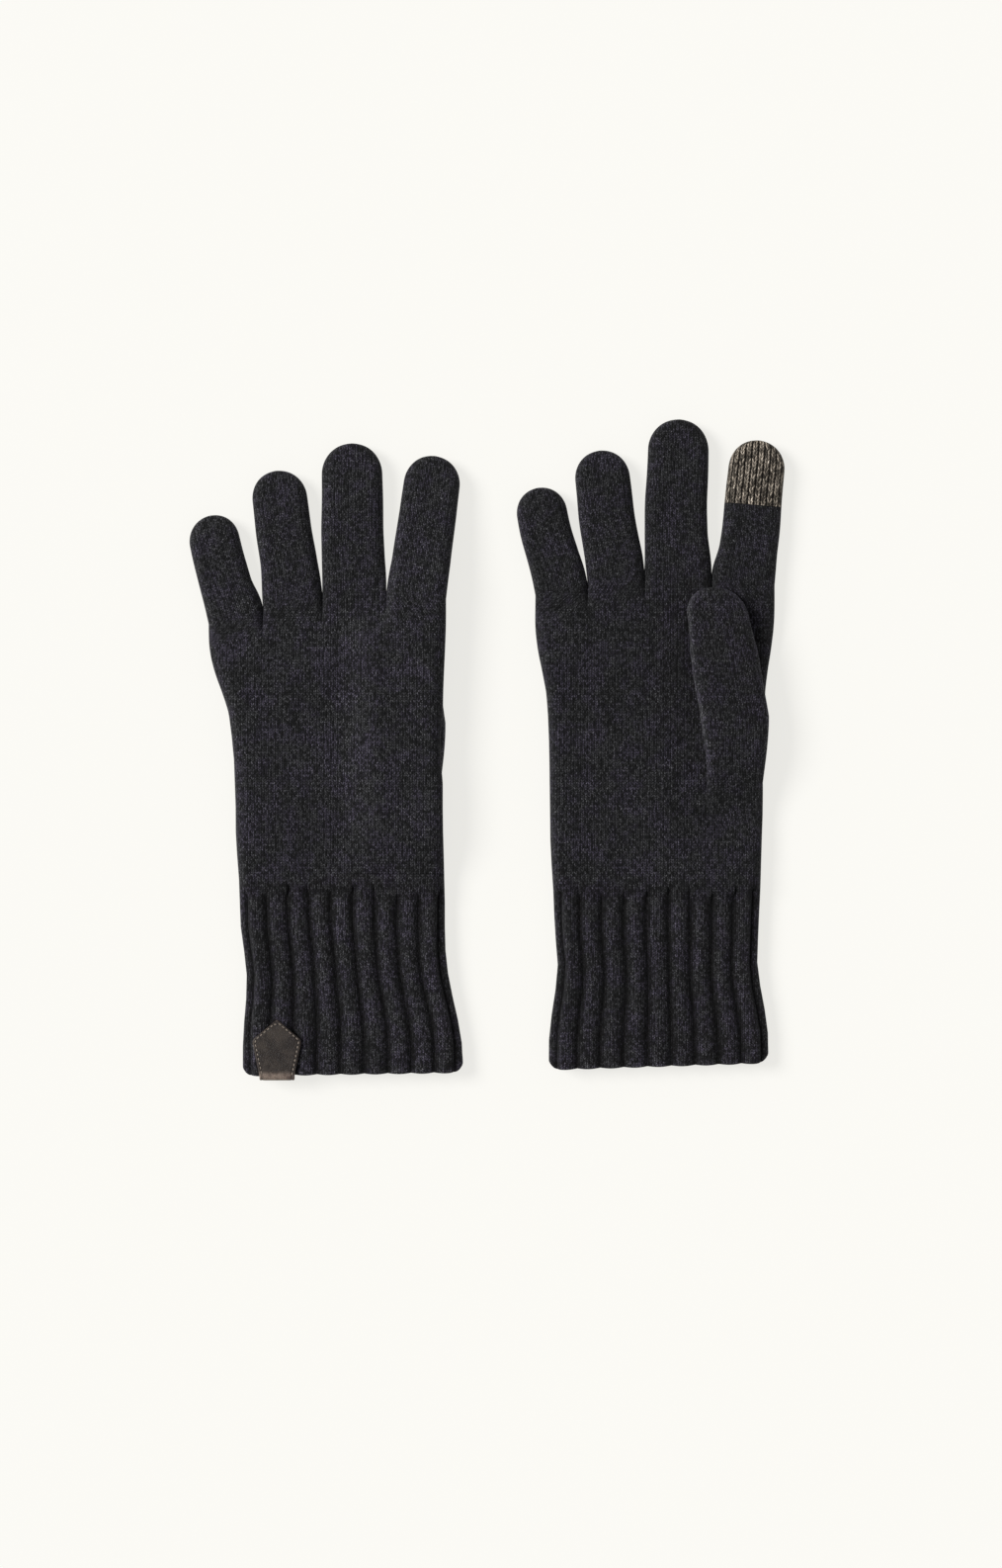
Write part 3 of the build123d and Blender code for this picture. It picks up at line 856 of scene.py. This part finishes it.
def stitch_piece(tab, material):
    """Thread stitches along the tab's edges, each a short rounded lozenge."""
    rings, sides = 6, 8
    outline = stitch_path(tab)
    walk = np.concatenate([[0], np.cumsum(np.hypot(*np.diff(outline, axis=0).T))])
    vertices, faces, maps = [], [], []
    for at in np.arange(STITCH_PITCH / 2, walk[-1], STITCH_PITCH):
        x, y = (np.interp(at, walk, outline[:, i]) for i in (0, 1))
        ahead_x, ahead_y = (np.interp(at + 0.3 * MM, walk, outline[:, i]) for i in (0, 1))
        turn = math.atan2(ahead_y - y, ahead_x - x)
        first = len(vertices)
        for i in range(rings + 1):
            lengthwise = -math.cos(math.pi * i / rings) * STITCH_LENGTH / 2
            girth = max(math.sin(math.pi * i / rings), 0.05) * STITCH_GIRTH
            for k in range(sides):
                angle = k * 2 * math.pi / sides
                side, up = girth * math.cos(angle), girth * math.sin(angle)
                vertices.append((x + lengthwise * math.cos(turn) - side * math.sin(turn),
                                 y + lengthwise * math.sin(turn) + side * math.cos(turn),
                                 tab.high[2] - 0.02 * MM + up * 0.8))
        for i in range(rings):
            for k in range(sides):
                a, b = first + i * sides + k, first + i * sides + (k + 1) % sides
                faces.append((a, b, b + sides, a + sides))
                maps.extend([(i * 0.2 * MM, k * 0.2 * MM)] * 4)
    return add_mesh("left_tab_thread", vertices, faces, maps, material)


# ------------------------------------------------------------------ put it together
def build_glove(side, fine, touch):
    """All the knitted pieces of one glove: the hem, hand and touch tip are put on the bodies they move with,
    the cuff, fingers and thumb have their transforms baked.
    """
    glove = Glove(side)
    fingers = {name: glove.finger(name) for name in FINGERS}
    roots = root_rows(fingers)
    hem_high = glove.hem[:, 1].max()
    wrist_y, wrist_z = glove.wrist[1], glove.wrist[2]
    hem = cuff_piece(glove, f"{side}_cuff_hem_knit", glove.hem_y, hem_high, hem_high, fine)
    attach(hem, f"{side}_cuff")
    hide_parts(f"{side}_cuff_hem")
    cuff = cuff_piece(glove, f"{side}_cuff_knit", hem_high, wrist_y + WRIST_REACH,
                      wrist_y - LINING_STOP, fine)
    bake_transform(cuff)
    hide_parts(f"{side}_cuff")
    palm = hand_piece(glove, fine, fingers, roots)
    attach(palm, f"{side}_hand")
    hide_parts(f"{side}_hand")
    for finger in FINGERS:
        piece = finger_piece(glove, finger, fingers, roots, fine)
        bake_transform(piece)
        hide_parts(f"{side}_{finger}_finger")
    tip = touch_piece(glove, fingers, roots, touch)
    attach(tip, f"{side}_index_finger")
    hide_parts(f"{side}_index_touch_tip")
    thumb = thumb_piece(glove, fine)
    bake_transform(thumb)
    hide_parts(f"{side}_thumb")


def add_floor():
    """Pale sweep, just under the gloves."""
    reach, level = 3.0, -0.0002
    corners = [(-reach, -reach, level), (reach, -reach, level), (reach, reach, level), (-reach, reach, level)]
    mesh = bpy.data.meshes.new("floor")
    mesh.from_pydata(corners, [], [(0, 1, 2, 3)])
    floor = bpy.data.objects.new("floor", mesh)
    bpy.context.scene.collection.objects.link(floor)
    floor.data.materials.append(paper_material())


def add_light():
    """Soft light from the upper left and an even fill."""
    sun = bpy.data.lights.new("key", "SUN")
    sun.energy = 3.3
    sun.angle = math.radians(26)
    sun.color = (1.0, 0.99, 0.97)
    key = bpy.data.objects.new("key", sun)
    bpy.context.scene.collection.objects.link(key)
    key.rotation_euler = (math.radians(-14), math.radians(-46), 0)
    world = bpy.data.worlds.new("studio")
    world.use_nodes = True
    background = world.node_tree.nodes["Background"]
    background.inputs["Color"].default_value = (1.0, 1.0, 0.99, 1.0)
    background.inputs["Strength"].default_value = 0.34
    bpy.context.scene.world = world
    bpy.context.scene.view_settings.view_transform = "Standard"


def add_camera():
    """Long lens straight above the pair, framed with more table below than above."""
    view_height, distance, sensor = 0.666, 1.9, 36.0
    data = bpy.data.cameras.new("camera")
    data.sensor_width = sensor
    data.lens = sensor * distance / view_height
    obj = bpy.data.objects.new("camera", data)
    bpy.context.scene.collection.objects.link(obj)
    obj.location = (0.0059, -0.0145, distance)
    bpy.context.scene.camera = obj


def touch_knit():
    """Coarse knit in bronze and sand yarn with bright metallic flecks, and a near-black colour as painted
    shade in the pits between stitches.
    """
    bronze, sand = (0.125, 0.106, 0.085, 1.0), (0.20, 0.172, 0.142, 1.0)
    glint, pit_shade = (0.74, 0.68, 0.59, 1.0), (0.006, 0.004, 0.003, 1.0)
    return knit_material("touch_knit", bronze, sand, glint, pit_shade, TOUCH_WALE, TOUCH_COURSE,
                         TOUCH_RISE, TOUCH_GATHER, GRAIN, 0.02)


def fine_knit(side, painted_falloff):
    """Fine jersey in charcoal marled with plum, its colours scaled down for a darker copy that paints the
    shade where the light falls off.
    """
    charcoal, plum, grey, shadow = (
        (*(painted_falloff * value for value in colour), 1.0)
        for colour in ((0.0150, 0.0152, 0.0166), (0.0212, 0.0185, 0.0285),
                       (0.125, 0.125, 0.135), (0.0028, 0.0028, 0.0032)))
    return knit_material(f"{side}_fine_knit", charcoal, plum, grey, shadow, WALE, COURSE,
                         LEG_RISE, LEG_GATHER, GRAIN, 0.10)


def main():
    touch = touch_knit()
    # The right glove gets a darker copy of the knit, as painted shade for light that falls off to the right.
    for side, painted_falloff in (("left", 1.0), ("right", 0.86)):
        build_glove(side, fine_knit(side, painted_falloff), touch)
    tab = Tab()
    leather = tab_piece(tab, leather_material())
    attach(leather, "left_cuff")
    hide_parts("left_leather_tab")
    stitches = stitch_piece(tab, thread_material())
    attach(stitches, "left_cuff")
    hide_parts("left_tab_stitches")
    add_floor()
    add_light()
    add_camera()


main()
